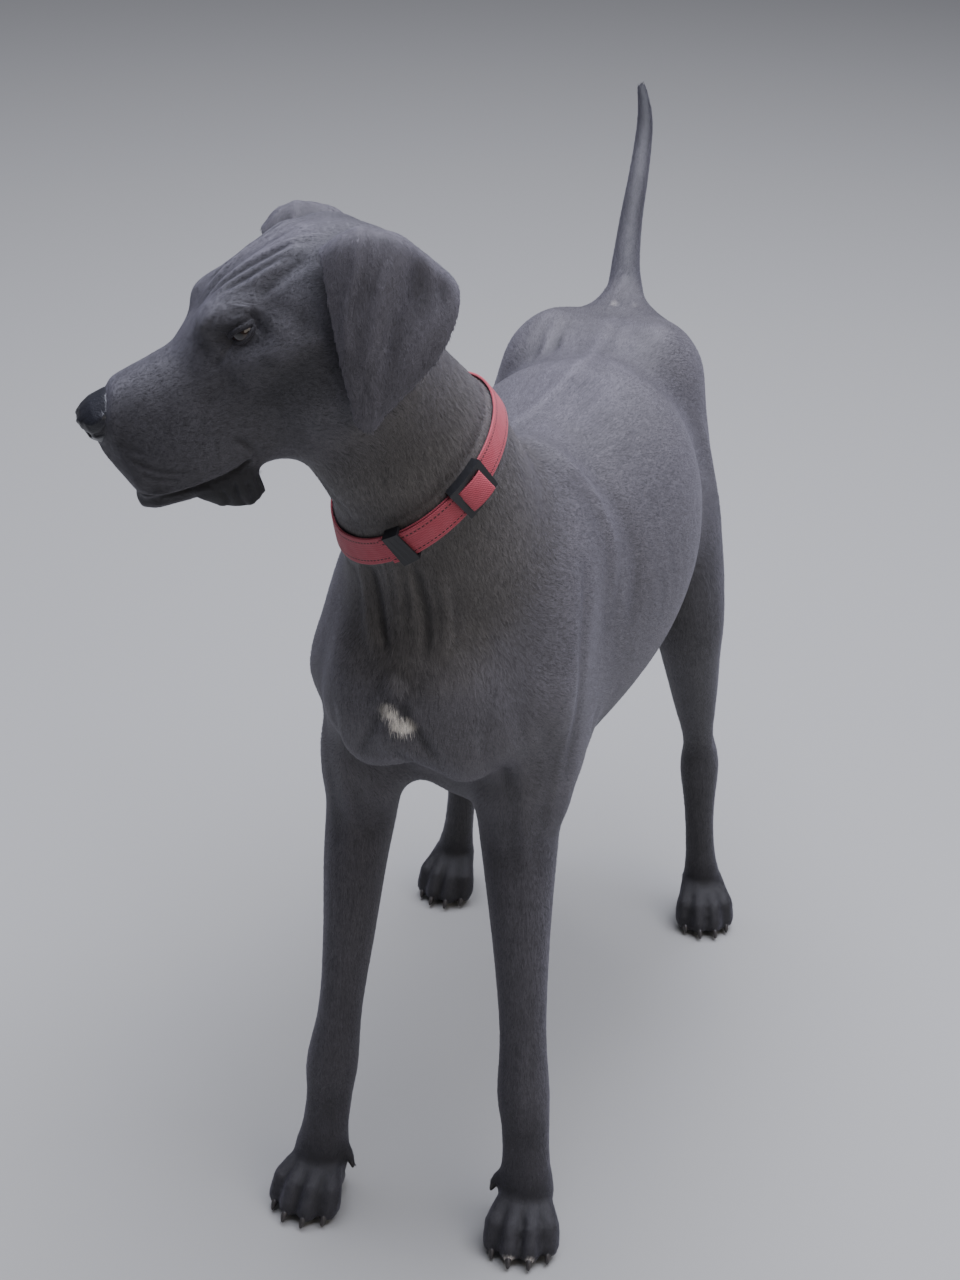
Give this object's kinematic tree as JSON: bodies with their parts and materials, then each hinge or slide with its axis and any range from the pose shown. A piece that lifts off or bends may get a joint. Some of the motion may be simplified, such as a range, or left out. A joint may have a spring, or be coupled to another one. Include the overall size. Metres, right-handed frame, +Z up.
{
  "type": "great dane, standing, with a webbing collar",
  "caption": "Life-size still model of a short-coated grey great dane, standing with its head turned to its right and its tail carried back, wearing a red webbing collar.",
  "frame": {"origin": "on the floor under the middle of the model's bounding box", "axes": "+Z up, -Y ahead of the dog, +X towards the dog's own left"},
  "size_m": [0.4394, 1.267, 1.0762],
  "materials": {
    "coat": "short flat fur, steel grey, darker on the face, legs and tail",
    "eye": "wet dark brown eye",
    "nose_leather": "damp pebbled black skin",
    "collar_webbing": "woven red webbing, worn at the edges",
    "collar_plastic": "moulded black plastic"
  },
  "bodies": {
    "root": {"collar_end": "collar_webbing", "collar_keeper": "collar_plastic", "collar_slider": "collar_plastic", "collar_strap": "collar_webbing", "ear_left": "coat", "ear_right": "coat", "eye_left": "eye", "eye_right": "eye", "foreleg_left": "coat", "foreleg_right": "coat", "forepaw_left": "coat", "forepaw_right": "coat", "head": "coat", "hindleg_left": "coat", "hindleg_right": "coat", "hindpaw_left": "coat", "hindpaw_right": "coat", "lower_jaw": "coat", "neck": "coat", "nose": "nose_leather", "tail": "coat", "torso": "coat"}
  },
  "joints": []
}
